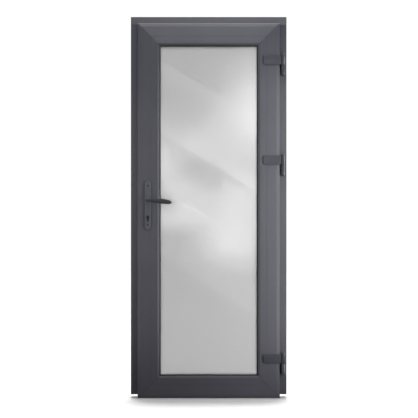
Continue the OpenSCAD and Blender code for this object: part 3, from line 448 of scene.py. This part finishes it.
# to the eye: soft silver-white, without crystals
aluminium = plated("anodised_aluminium", ("b4b6b9", "bcbec0"), 0.34, 900.0)
dress(galvanised, "frame_steels", "leaf_steels", "keep_centre", "bolt_keeps", "lock_case",
      "bolt_cases", "hinge_pins")
dress(zinc, "corner_screws", "threshold_screws", "keep_screws", "hinge_frame_screws",
      "hinge_leaf_screws", "faceplate_screws", "handle_screws", "cylinder_screw",
      "lock_faceplate", "spindle", "follower", "latch_bolt", "deadbolt", "bolt_top",
      "bolt_bottom", "drive_rods")
dress(aluminium, "threshold", "glass_spacer")
# painted shade: the cylinder and its plug are smooth near-black, so that the keyhole reads as a dark
# spot like a shaded hole
dress(powder_coat("keyhole_painted_shade_black", "131417", 0.35), "cylinder_body", "key_plug")
print("metal dressed")

# %% [markdown]
# The glazing is a sealed unit. Its panes are satin glass: etched with acid so that light comes
# through without a picture, while the front keeps a polished sheen that mirrors the room.

# %% Satin glass
# to the eye: pale milky glass with a sharp, weak mirror image on it
satin, tree, shader, place = start_finish(
    "satin_etched_glass", Base_Color=linear("ececec"), Roughness=0.35,
    Transmission_Weight=0.84, IOR=1.45, Specular_IOR_Level=0.0, Coat_Weight=1.0,
    Coat_Roughness=0.004, Coat_IOR=2.0)
etch = add(tree, "ShaderNodeTexNoise", Vector=place, Scale=1500.0, Detail=2.0)
frost = add(tree, "ShaderNodeBump", Height=etch.outputs["Fac"], Strength=0.1, Distance=0.0001)
tree.links.new(frost.outputs["Normal"], shader.inputs["Normal"])
dress(satin, "glass_inner", "glass_outer")
print("glass dressed")

# %% [markdown]
# The handles, hinges and screw heads are remodelled, because their rounded edges catch the
# light. Each starts as a primitive at its true place and is shaped in edit mode. A few helpers do
# what a hand does with the mouse: clear the selection, pick edges or faces by where they are,
# slide them, and cut one shape out of another.

# %% Modelling helpers


def clear_selection():
    """Deselects everything, so that an operator acts only on what is picked next."""
    if bpy.context.object and bpy.context.object.mode == "EDIT":
        bpy.ops.object.mode_set(mode="OBJECT")
    bpy.ops.object.select_all(action="DESELECT")


def only(piece):
    """Makes one piece the selected and active one."""
    clear_selection()
    piece.select_set(True)
    bpy.context.view_layer.objects.active = piece


def pick(piece, kind, test):
    """Opens edit mode with only the faces or edges that pass the test selected."""
    only(piece)
    bpy.ops.object.mode_set(mode="EDIT")
    bpy.ops.mesh.select_mode(type=kind)
    bpy.ops.mesh.select_all(action="DESELECT")
    mesh = bmesh.from_edit_mesh(piece.data)
    chosen = [part for part in (mesh.faces if kind == "FACE" else mesh.edges) if test(part)]
    for part in chosen:
        part.select_set(True)
    mesh.select_flush_mode()
    bmesh.update_edit_mesh(piece.data)
    return len(chosen)


def middle(part):
    """The middle of a face's or an edge's corners."""
    return sum((v.co for v in part.verts), Vector()) / len(part.verts)


def sharp(edge):
    """True where two faces meet at a clear angle."""
    return len(edge.link_faces) == 2 and edge.calc_face_angle() > 0.7


def done(piece, name, angle=35):
    """Leaves edit mode, names the piece and smooths it up to an angle."""
    only(piece)
    bpy.ops.object.transform_apply(location=True, rotation=True, scale=True)
    bpy.ops.object.shade_smooth_by_angle(angle=math.radians(angle))
    piece.name = name
    piece.data.name = name
    print(name, len(piece.data.polygons), "faces")
    return piece


def bar(low, high):
    """A block between two corners."""
    clear_selection()
    low, high = Vector(low), Vector(high)
    bpy.ops.mesh.primitive_cube_add(size=1, location=(low + high) / 2, scale=high - low)
    bpy.ops.object.transform_apply(location=True, rotation=True, scale=True)
    return bpy.context.object


def rod(radius, start, end, sides=64):
    """A round bar from one point to another."""
    clear_selection()
    run = Vector(end) - Vector(start)
    turn = run.to_track_quat("Z", "Y").to_euler()
    bpy.ops.mesh.primitive_cylinder_add(vertices=sides, radius=radius, depth=run.length,
                                        location=(Vector(start) + Vector(end)) / 2, rotation=turn)
    bpy.ops.object.transform_apply(location=True, rotation=True, scale=True)
    return bpy.context.object


def apply(piece, kind, **settings):
    """Adds one modifier and applies it."""
    only(piece)
    modifier = piece.modifiers.new(kind.lower(), kind)
    for name, value in settings.items():
        setattr(modifier, name, value)
    bpy.ops.object.modifier_apply(modifier=modifier.name)


def cut(piece, *tools):
    """Cuts other shapes out of a piece and throws them away."""
    for tool in tools:
        apply(piece, "BOOLEAN", object=tool, operation="DIFFERENCE", solver="EXACT")
        bpy.data.objects.remove(tool, do_unlink=True)


def weld(*pieces):
    """Joins several shapes into the first one."""
    only(pieces[0])
    for piece in pieces:
        piece.select_set(True)
    bpy.ops.object.join()
    return pieces[0]


def fit(piece, body, slot, material, *nodes):
    """Gives a finished piece its body and its finish, and hides the nodes it stands for; its slot is
    not used.
    """
    piece.data.materials.clear()
    piece.data.materials.append(material)
    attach(piece, body)
    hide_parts(*nodes)


def copy_of(piece, shift):
    """A copy with its own mesh, moved by a shift."""
    only(piece)
    bpy.ops.object.duplicate()
    twin = bpy.context.object
    twin.location = shift
    bpy.ops.object.transform_apply(location=True, rotation=True, scale=True)
    return twin


print("modelling helpers ready")

# %% [markdown]
# The handle plate is a long stadium, die-cast with a softly rounded rim. It could be drawn as an
# outline and thickened. Here a cylinder is pulled apart along the door's height, which gives the
# same stadium in one move, and then its front rim is bevelled. The key cylinder and the lever's
# neck each need a hole, and the two screws get theirs last, on the inside only.

# %% Handle plates
lock_low, lock_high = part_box("handle_plate_inside")
lock_x = (lock_low[0] + lock_high[0]) / 2
plate_r = (lock_high[0] - lock_low[0]) / 2
leaf_in = lock_high[1]
leaf_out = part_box("handle_plate_outside")[0][1]
mirror_y = (leaf_in + leaf_out) / 2
lever_low, lever_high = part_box("lever_inside")
lever_pin = [j for j in frame["joints"] if j["name"] == "lever_turn"][0]
lever_z = lever_pin["pos_m"][2]
key_pin = [j for j in frame["joints"] if j["name"] == "key_turn"][0]
key_z = key_pin["pos_m"][2]


NECK_HOLE_R = 8.6 * MM
CYLINDER_R = 8.85 * MM
CYLINDER_TAIL_R = 5.35 * MM
CYLINDER_DROP = 19.5 * MM


def handle_plate():
    """The inside plate with its rim rounded and its holes cut."""
    front = lock_low[1]
    centre = (lock_low[2] + lock_high[2]) / 2
    reach = (lock_high[2] - lock_low[2]) / 2 - plate_r
    plate = rod(plate_r, (lock_x, leaf_in, centre), (lock_x, front, centre), sides=98)
    for way in (1, -1):
        pick(plate, "FACE", lambda f: abs(f.normal.y) < 0.5 and way * (middle(f).z - centre) > 0)
        bpy.ops.transform.translate(value=(0, 0, way * reach))
    rim = pick(plate, "EDGE", lambda e: sharp(e) and middle(e).y < front + 0.1 * MM)
    bpy.ops.mesh.bevel(offset=4.5 * MM, segments=7, profile=0.55, affect="EDGES")
    clear_selection()
    back = leaf_in + 1 * MM
    far = front - 5 * MM
    foot = key_z - CYLINDER_DROP
    tools = [rod(NECK_HOLE_R, (lock_x, back, lever_z), (lock_x, far, lever_z)),
             rod(CYLINDER_R, (lock_x, back, key_z), (lock_x, far, key_z)),
             bar((lock_x - CYLINDER_TAIL_R, far, foot), (lock_x + CYLINDER_TAIL_R, back, key_z)),
             rod(CYLINDER_TAIL_R, (lock_x, back, foot), (lock_x, far, foot))]
    cut(plate, *tools)
    print("rim edges rounded:", rim)
    return plate


plate_inside = handle_plate()
done(plate_inside, "handle_plate_in")
fit(plate_inside, "leaf", "handle_paint", plate_paint_painted_light, "handle_plate_inside")

# %% [markdown]
# The outside plate is the same casting turned round. A copy is scaled by minus one across the
# middle of the door. That turns its faces inside out, so the normals are recalculated.

# %% Outside plate


def mirrored(piece):
    """A copy on the door's other face."""
    twin = copy_of(piece, (0, 0, 0))
    twin.scale = (1, -1, 1)
    twin.location = (0, 2 * mirror_y, 0)
    bpy.ops.object.transform_apply(location=True, rotation=True, scale=True)
    pick(twin, "FACE", lambda f: True)
    bpy.ops.mesh.normals_make_consistent(inside=False)
    clear_selection()
    return twin


def drill(plate, heights, radius, head, depth):
    """Screw holes in a plate, each with a round recess for the head."""
    for z in heights:
        low_y = lock_low[1]
        sink = rod(head, (lock_x, low_y - 1 * MM, z), (lock_x, low_y + depth, z), sides=48)
        hole = rod(radius, (lock_x, low_y - 1 * MM, z), (lock_x, leaf_in + 1 * MM, z), sides=48)
        cut(plate, sink, hole)


plate_outside = done(mirrored(plate_inside), "handle_plate_out")
fit(plate_outside, "leaf", "handle_paint", plate_paint_painted_light, "handle_plate_outside")
screw_low, screw_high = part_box("handle_screws")
HANDLE_HEAD_R = 4.8 * MM
screw_heights = (screw_low[2] + HANDLE_HEAD_R, screw_high[2] - HANDLE_HEAD_R)
drill(plate_inside, screw_heights, 2.7 * MM, 5.1 * MM, 2.4 * MM)
done(plate_inside, "handle_plate_in")

# %% [markdown]
# The lever is one casting: a round neck that turns into a blade shaped like a slim leaf. The
# blade starts as a disc at the neck that is extruded from station to station along a drooping
# line, and scaled at each. A voxel remesh then melts neck and blade into one skin, and smoothing
# gives the soft join of a real casting. A boolean union would leave a hard crease there.

# %% Lever
neck_r = 8.5 * MM
blade_start, blade_end = 4.0, (lever_high[0] - lock_x) / MM
blade_front = lever_low[1]
blade_t = 12 * MM
blade_y = blade_front + blade_t / 2


def station(d):
    """Height of the blade's middle line, half its height and half its thickness, in mm."""
    t = (d - blade_start) / (blade_end - blade_start)
    tip = math.sqrt(max(0.0, 1 - ((t - 0.88) / 0.12) ** 2)) if t > 0.88 else 1.0
    half = (5 + 4 * t + 6.5 * math.sin(math.pi * t)) * tip
    return -0.02 * d - 0.0005 * d * d, half, (6.0 - 1.2 * t) * max(tip, 0.25)


def lever():
    """The inside lever, neck and blade in one skin."""
    drop, half, thick = station(blade_start)
    clear_selection()
    bpy.ops.mesh.primitive_circle_add(
        vertices=40, radius=1 * MM, fill_type="NGON", rotation=(0, math.pi / 2, 0),
        location=(lock_x + blade_start * MM, blade_y, lever_z + drop * MM))
    blade = bpy.context.object
    bpy.ops.object.transform_apply(location=True, rotation=True, scale=True)
    pick(blade, "FACE", lambda f: True)
    here = Vector((lock_x + blade_start * MM, blade_y, lever_z + drop * MM))
    bpy.ops.transform.resize(value=(1, thick, half), center_override=here)
    steps = [blade_start + 5 * i for i in range(1, 22)]
    steps += [blade_end - r for r in (16, 13, 10, 7.5, 5, 3, 1.5, 0.4)]
    for d in steps:
        old_half, old_thick = half, thick
        drop, half, thick = station(d)
        there = Vector((lock_x + d * MM, blade_y, lever_z + drop * MM))
        bpy.ops.mesh.extrude_region_move(TRANSFORM_OT_translate={"value": there - here})
        bpy.ops.transform.resize(value=(1, thick / old_thick, half / old_half),
                                 center_override=there)
        here = there
    clear_selection()
    neck = rod(neck_r, (lock_x, lock_low[1] + 8 * MM, lever_z), (lock_x, blade_front, lever_z))
    pick(neck, "EDGE", lambda e: sharp(e) and middle(e).y < blade_front + 0.1 * MM)
    bpy.ops.mesh.bevel(offset=3.5 * MM, segments=5, affect="EDGES")
    clear_selection()
    whole = weld(neck, blade)
    apply(whole, "REMESH", mode="VOXEL", voxel_size=0.75 * MM, use_smooth_shade=True)
    apply(whole, "SMOOTH", factor=0.5, iterations=14)
    return whole


lever_in = done(lever(), "lever_in", angle=80)
fit(lever_in, "lever", "handle_paint", lever_paint_painted_shade, "lever_inside")
lever_out = done(mirrored(lever_in), "lever_out", angle=80)
fit(lever_out, "lever", "handle_paint", lever_paint_painted_shade, "lever_outside")

# %% [markdown]
# Each hinge is a flag. A moulded cover hides the screws of the leaf's half, with rounded far
# corners and a soft edge all round. Beside it stands the knuckle on its pin, over the knuckle of
# the frame's half. The parting between them shows as a dark ring. One hinge is modelled, the
# bottom one, and its parts are copied to the other two. Every height is counted from its parting.

# %% Hinge sizes
swing = [j for j in frame["joints"] if j["name"] == "leaf_swing"][0]
axis_x, axis_y = swing["pos_m"][:2]
partings = [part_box("hinge_frame_leaf_" + spot)[1][2] for spot in ("bottom", "middle", "top")]
cover_low, cover_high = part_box("hinge_covers")
base_z = partings[0]
knuckle_r = 14.5 * MM
KNUCKLE_UP = 60 * MM
KNUCKLE_DOWN = 57 * MM
BUSH_R = 8.0 * MM
PIN_R = 6.0 * MM
print("hinge partings in mm:", [round(z / MM) for z in partings])

# %% [markdown]
# The cover is a block whose two far corners are rounded first and whose front rim second, so that
# the small round follows the big ones.

# %% Hinge cover


def hinge_cover():
    """The cover cap of the bottom hinge."""
    low = (cover_low[0] - 0.4 * MM, cover_low[1], base_z + 3.6 * MM)
    high = (cover_high[0], leaf_in - 0.3 * MM, base_z + 54.4 * MM)
    cap = bar(low, high)
    pick(cap, "EDGE", lambda e: abs((e.verts[0].co - e.verts[1].co).normalized().y) > 0.9
         and middle(e).x < low[0] + 0.1 * MM)
    bpy.ops.mesh.bevel(offset=13.4 * MM, segments=12, affect="EDGES")
    pick(cap, "EDGE", lambda e: sharp(e) and middle(e).y < low[1] + 0.1 * MM)
    bpy.ops.mesh.bevel(offset=2.2 * MM, segments=5, affect="EDGES")
    clear_selection()
    return cap


cover = done(hinge_cover(), "hinge_cover_bottom")
covers = [cover] + [copy_of(cover, (0, 0, z - base_z)) for z in partings[1:]]
covers = done(weld(*covers), "hinge_cover_caps")
fit(covers, "leaf", "hinge_paint", hinge_paint, "hinge_covers")

# %% [markdown]
# A knuckle is a turned barrel. A cylinder gets a rounded outer end, and a shallow groove where its
# end cap is pressed in: two cuts across it make a narrow band that is then shrunk. A hole for the
# bush or the pin is bored last.

# %% Hinge knuckles


def barrel(low_z, high_z, cap_z, outer):
    """A knuckle with a rounded end, and a groove at the height of its cap."""
    body = rod(knuckle_r, (axis_x, axis_y, low_z), (axis_x, axis_y, high_z), sides=72)
    pick(body, "EDGE", lambda e: sharp(e) and abs(middle(e).z - outer) < 0.1 * MM)
    bpy.ops.mesh.bevel(offset=2.2 * MM, segments=5, affect="EDGES")
    inner = low_z + high_z - outer
    pick(body, "EDGE", lambda e: sharp(e) and abs(middle(e).z - inner) < 0.1 * MM)
    bpy.ops.mesh.bevel(offset=0.7 * MM, segments=2, affect="EDGES")
    for z in (cap_z - 0.6 * MM, cap_z, cap_z + 0.6 * MM):
        pick(body, "FACE", lambda f: True)
        bpy.ops.mesh.bisect(plane_co=(axis_x, axis_y, z), plane_no=(0, 0, 1))
    pick(body, "EDGE", lambda e: abs(middle(e).z - cap_z) < 0.1 * MM
         and abs(e.verts[0].co.z - e.verts[1].co.z) < 0.1 * MM)
    bpy.ops.transform.resize(value=(0.955, 0.955, 1), center_override=(axis_x, axis_y, cap_z))
    clear_selection()
    return body


def leaf_half():
    """The bottom hinge's leaf half: barrel and plate."""
    top = base_z + KNUCKLE_UP
    body = barrel(base_z + 1.5 * MM, top, top - 9 * MM, top)
    plate = bar((cover_low[0] + 3 * MM, leaf_in - 7 * MM, base_z + 5.5 * MM),
                (axis_x, leaf_in, base_z + 52.5 * MM))
    pick(plate, "EDGE", lambda e: sharp(e) and middle(e).y < leaf_in - 6.9 * MM)
    bpy.ops.mesh.bevel(offset=1.0 * MM, segments=3, affect="EDGES")
    clear_selection()
    apply(body, "BOOLEAN", object=plate, operation="UNION", solver="EXACT")
    bpy.data.objects.remove(plate, do_unlink=True)
    cut(body, rod(BUSH_R, (axis_x, axis_y, base_z), (axis_x, axis_y, top - 10 * MM)))
    return body


def frame_half():
    """The bottom hinge's frame half: barrel, web and foot."""
    low = base_z - KNUCKLE_DOWN
    body = barrel(low, base_z, low + 8 * MM, low)
    web = bar((axis_x - 5 * MM, axis_y, base_z - 53 * MM),
              (axis_x + 5 * MM, frame_in - 3 * MM, base_z - 5 * MM))
    foot = bar((axis_x - 14 * MM, frame_in - 6 * MM, low),
               (axis_x + 14 * MM, frame_in, base_z - 4 * MM))
    pick(foot, "EDGE", lambda e: sharp(e) and middle(e).y < frame_in - 5.9 * MM)
    bpy.ops.mesh.bevel(offset=1.8 * MM, segments=4, affect="EDGES")
    clear_selection()
    for part in (web, foot):
        apply(body, "BOOLEAN", object=part, operation="UNION", solver="EXACT")
        bpy.data.objects.remove(part, do_unlink=True)
    # the pin's bore from above, and a hexagon socket for the height adjuster from below
    cut(body, rod(PIN_R, (axis_x, axis_y, low + 12 * MM), (axis_x, axis_y, base_z + 1 * MM)),
        rod(3.0 * MM, (axis_x, axis_y, low - 1 * MM), (axis_x, axis_y, low + 5 * MM), 6))
    return body


frame_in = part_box("frame_jamb_hinge")[0][1]
for half, word, body, node in ((leaf_half(), "hinge_leaf_", "leaf", "hinge_leaf_"),
                               (frame_half(), "hinge_frame_", "frame", "hinge_frame_leaf_")):
    for spot, z in zip(("middle", "top"), partings[1:]):
        twin = done(copy_of(half, (0, 0, z - base_z)), word + spot + "_barrel")
        fit(twin, body, "hinge_paint", hinge_paint, node + spot)
    done(half, word + "bottom_barrel")
    fit(half, body, "hinge_paint", hinge_paint, node + "bottom")

# %% [markdown]
# Screws are bought by the hundred and all alike: a flat head with a cross recess. The packed
# screws say where each one is. Their solids are told apart by walking over joined faces, and one
# modelled screw is copied to each place. The script measures every solid's box, puts the head on
# the face that the screw is driven from, and takes the length from the first box.

# %% Screw places


def solids_of(name):
    """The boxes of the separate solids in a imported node."""
    mesh = bmesh.new()
    mesh.from_mesh(frame["nodes"][name].data)
    bmesh.ops.remove_doubles(mesh, verts=mesh.verts, dist=0.001 * MM)
    waiting = set(mesh.verts)
    boxes = []
    while waiting:
        group, edge_of_group = [], [waiting.pop()]
        while edge_of_group:
            vert = edge_of_group.pop()
            group.append(vert.co.copy())
            for edge in vert.link_edges:
                other = edge.other_vert(vert)
                if other in waiting:
                    waiting.discard(other)
                    edge_of_group.append(other)
        boxes.append((Vector([min(p[k] for p in group) for k in range(3)]),
                      Vector([max(p[k] for p in group) for k in range(3)])))
    mesh.free()
    return sorted(boxes, key=lambda b: tuple(b[0]))


for name in ("handle_screws", "faceplate_screws", "keep_screws"):
    print(name, len(solids_of(name)), "screws")

# %% [markdown]
# The screw is a short disc for the head with a softened rim, two crossed bars cut out of it for
# the recess, and a plain shank. Thread is left off: it is out of sight in the holes.

# %% Screws


def screw(head_at, aim, head_r, shank_r, length):
    """A screw with its head's face at a point, driven along a direction."""
    aim = Vector(aim)
    face = Vector(head_at)
    head = rod(head_r, face, face + aim * 1.5 * MM, sides=40)
    pick(head, "EDGE", lambda e: sharp(e) and (middle(e) - face).dot(aim) < 0.1 * MM)
    bpy.ops.mesh.bevel(offset=0.5 * MM, segments=3, affect="EDGES")
    clear_selection()
    wide, deep = head_r * 0.6, head_r * 0.13
    side = Vector((0, 0, 1))
    across = aim.cross(side)
    for long_way, short_way in ((side, across), (across, side)):
        reach = long_way * wide + short_way * deep
        one = face - aim * 0.5 * MM - reach
        two = face + aim * 1.0 * MM + reach
        low = [min(a, b) for a, b in zip(one, two)]
        high = [max(a, b) for a, b in zip(one, two)]
        cut(head, bar(low, high))
    shank = rod(shank_r, face + aim * 1.4 * MM, face + aim * length, sides=24)
    return weld(head, shank)


def screw_set(node, aim, head_r, shank_r, name, body, slot, material):
    """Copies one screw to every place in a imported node."""
    boxes = solids_of(node)
    aim = Vector(aim)
    k = 0 if abs(aim.x) > 0.5 else 1
    places = []
    for low, high in boxes:
        spot = (low + high) / 2
        spot[k] = low[k] if aim[k] > 0 else high[k]
        places.append(spot)
    length = boxes[0][1][k] - boxes[0][0][k]
    first = screw(places[0], aim, head_r, shank_r, length)
    rest = [copy_of(first, spot - places[0]) for spot in places[1:]]
    whole = done(weld(first, *rest), name)
    fit(whole, body, slot, material, node)


screw_set("handle_screws", (0, 1, 0), HANDLE_HEAD_R, 2.45 * MM, "handle_screw_set", "leaf",
          "screws", dark_zinc)
screw_set("faceplate_screws", (1, 0, 0), 3.9 * MM, 1.95 * MM, "faceplate_screw_set", "leaf",
          "screws", zinc)
screw_set("keep_screws", (-1, 0, 0), 4.2 * MM, 1.95 * MM, "keep_screw_set", "frame", "screws", zinc)
